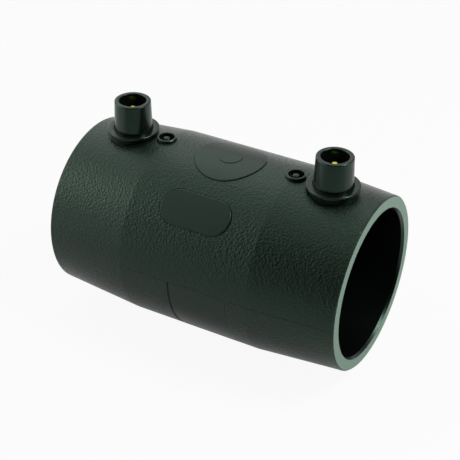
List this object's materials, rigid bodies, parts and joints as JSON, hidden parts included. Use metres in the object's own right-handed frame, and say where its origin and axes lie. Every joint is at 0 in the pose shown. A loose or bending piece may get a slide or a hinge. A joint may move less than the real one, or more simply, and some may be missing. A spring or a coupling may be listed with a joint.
{
  "type": "electrofusion coupler",
  "caption": "Short moulded polyethylene sleeve that joins two pipe ends by fusion, with shrouded contact pins, melt indicators and a buried heating winding.",
  "frame": {"origin": "on the bore's axis, midway between the two mouths, where the pipe ends meet the stop ring", "axes": "+X along the bore towards the right socket's mouth, +Z the way the two terminals point"},
  "size_m": [0.134, 0.0804, 0.0944],
  "materials": {
    "sleeve": "moulded black polyethylene with a spark-eroded grain",
    "shroud": "smooth moulded black polyethylene",
    "indicator": "smooth moulded black polyethylene",
    "pin": "turned brass",
    "wire": "drawn copper-nickel resistance wire"
  },
  "bodies": {
    "root": {"socket_body": "sleeve", "terminal_shroud_left": "shroud", "terminal_shroud_right": "shroud", "contact_pin_left": "pin", "contact_pin_right": "pin", "indicator_pin_left": "indicator", "indicator_pin_right": "indicator", "heating_coil": "wire"}
  },
  "joints": []
}
